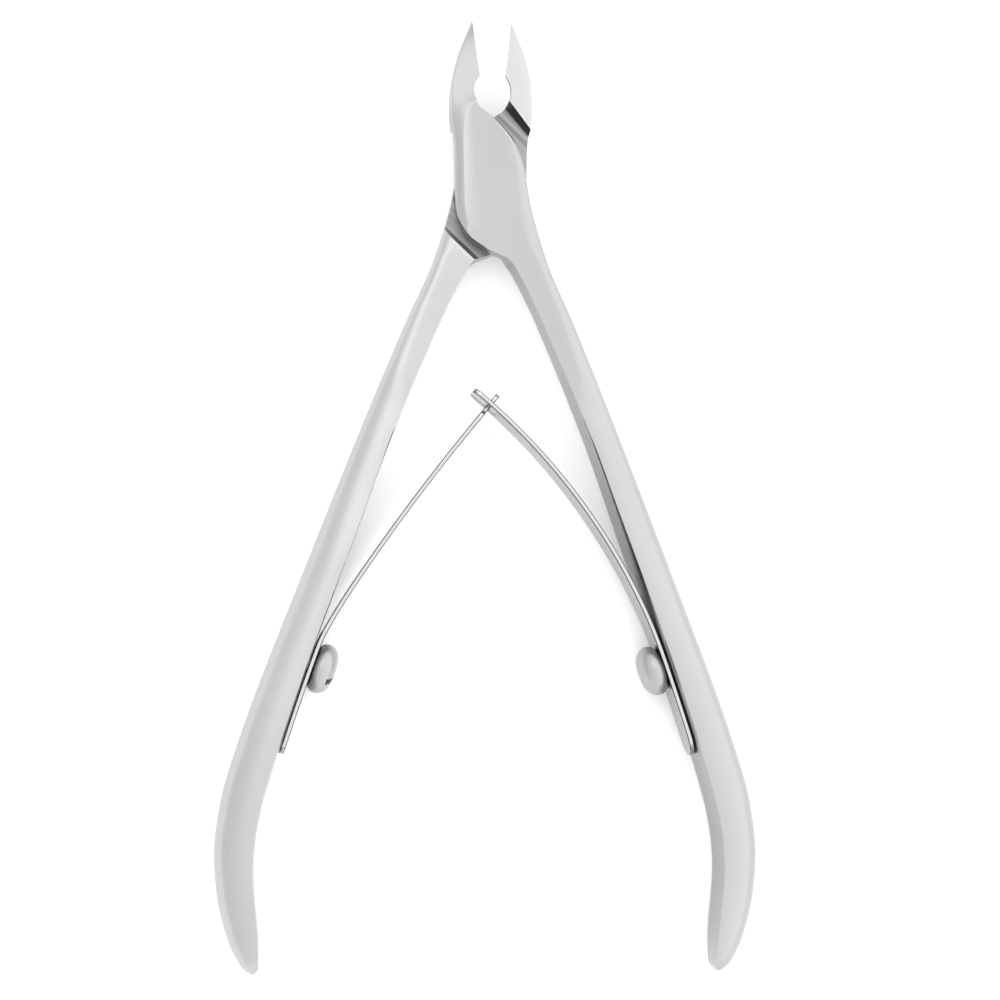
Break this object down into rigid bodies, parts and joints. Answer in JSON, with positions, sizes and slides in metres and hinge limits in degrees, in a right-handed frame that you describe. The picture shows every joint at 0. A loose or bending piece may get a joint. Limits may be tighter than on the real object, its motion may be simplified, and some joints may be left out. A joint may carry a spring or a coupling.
{
  "type": "cuticle nipper",
  "caption": "Satin steel nipper with a lap joint, pointed jaws and interlocking double leaf springs that hold it open.",
  "frame": {"origin": "bottom centre of the bounding box, on the surface that the open nipper lies on", "axes": "+Y from the handle ends to the jaw tips, +Z out of the joint's front face, +X to the right seen from the front"},
  "size_m": [0.059, 0.1046, 0.007],
  "materials": {
    "lever_steel": "satin ground stainless steel",
    "spring_steel": "smooth rolled stainless spring strip",
    "screw_steel": "dull turned stainless steel"
  },
  "bodies": {
    "rear": {"rear_lever": "lever_steel", "spring_screw_left": "screw_steel"},
    "front": {"front_lever": "lever_steel", "pivot_screw": "screw_steel", "spring_screw_right": "screw_steel"},
    "left_leaf": {"leaf_spring_left": "spring_steel"},
    "right_leaf": {"leaf_spring_right": "spring_steel"}
  },
  "joints": [
    {"name": "lever_pivot", "type": "hinge", "parent": "rear", "child": "front", "pos_m": [0, 0.03395, 0.0035], "axis": [0, 0, -1], "range_deg": [0, 13.4], "stiffness_Nm_per_rad": 0.27, "deforming": ["leaf_spring_left", "leaf_spring_right"]},
    {"name": "left_leaf_flex", "type": "hinge", "parent": "rear", "child": "left_leaf", "pos_m": [-0.01885, -0.01798, 0.0035], "axis": [0, 0, 1], "range_deg": [0, 5.5]},
    {"name": "right_leaf_flex", "type": "hinge", "parent": "front", "child": "right_leaf", "pos_m": [0.01885, -0.01798, 0.0035], "axis": [0, 0, -1], "range_deg": [0, 5.5]}
  ],
  "couplings": [
    {"joint": "left_leaf_flex", "follows": "lever_pivot", "ratio": 0.4},
    {"joint": "right_leaf_flex", "follows": "lever_pivot", "ratio": 0.4}
  ]
}
